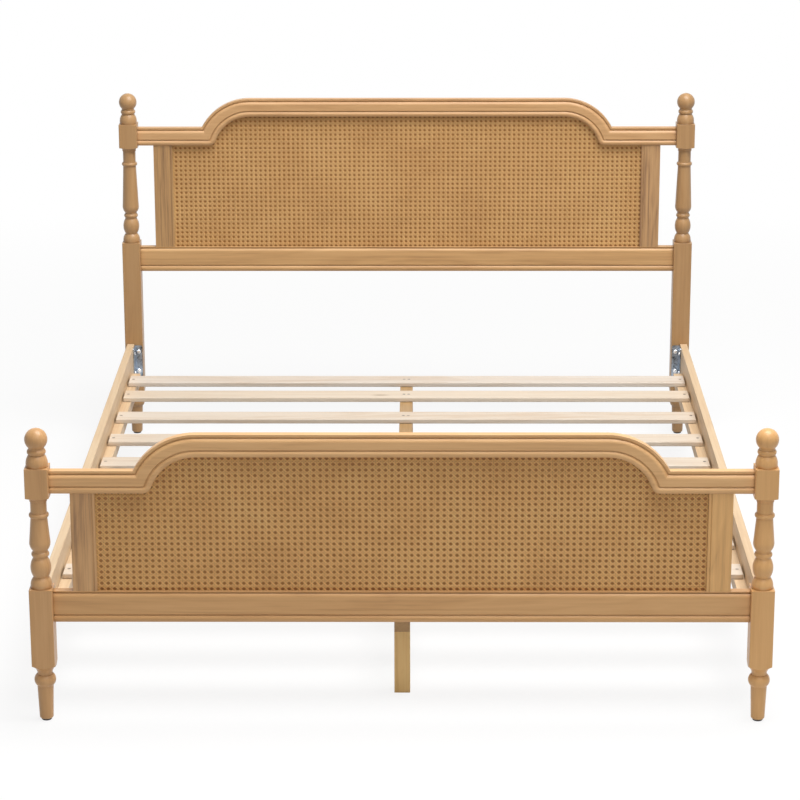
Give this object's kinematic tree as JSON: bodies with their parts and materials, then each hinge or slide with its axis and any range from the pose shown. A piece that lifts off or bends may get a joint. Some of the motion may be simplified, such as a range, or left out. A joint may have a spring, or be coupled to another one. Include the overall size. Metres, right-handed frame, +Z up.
{
  "type": "bed frame",
  "caption": "Queen-size wooden bed frame with turned posts, moulded arched boards, cane panels and a slatted base.",
  "frame": {"origin": "on the floor, under the middle of the bed", "axes": "+X across the bed to the right seen from the foot, +Y from the foot to the head, +Z up"},
  "size_m": [1.592, 2.132, 0.9807],
  "materials": {
    "oak": "satin",
    "side_pine": "satin",
    "slat_pine": "raw",
    "backing": "matte",
    "cane": "satin",
    "dowel_wood": "raw",
    "zinc": "satin",
    "steel": "satin",
    "black_plastic": "matte"
  },
  "bodies": {
    "root": {"bracket_bolts": "zinc", "bracket_foot_left": "zinc", "bracket_foot_right": "zinc", "bracket_head_left": "zinc", "bracket_head_right": "zinc", "bracket_screws": "zinc", "center_beam": "side_pine", "center_leg_front": "side_pine", "center_leg_middle": "side_pine", "center_leg_rear": "side_pine", "foot_backing_board": "backing", "foot_bottom_rail": "oak", "foot_cane_panel": "cane", "foot_dowels": "dowel_wood", "foot_post_left": "oak", "foot_post_right": "oak", "foot_stile_left": "oak", "foot_stile_right": "oak", "foot_top_rail": "oak", "head_backing_board": "backing", "head_bottom_rail": "oak", "head_cane_panel": "cane", "head_dowels": "dowel_wood", "head_post_left": "oak", "head_post_right": "oak", "head_stile_left": "oak", "head_stile_right": "oak", "head_top_rail": "oak", "ledger_left": "side_pine", "ledger_right": "side_pine", "ledger_screws": "steel", "leg_hanger_bolts": "steel", "post_glides": "black_plastic", "side_rail_left": "side_pine", "side_rail_right": "side_pine", "slat_01": "slat_pine", "slat_02": "slat_pine", "slat_03": "slat_pine", "slat_04": "slat_pine", "slat_05": "slat_pine", "slat_06": "slat_pine", "slat_07": "slat_pine", "slat_08": "slat_pine", "slat_09": "slat_pine", "slat_10": "slat_pine", "slat_screws": "steel", "threaded_inserts": "steel"}
  },
  "joints": []
}
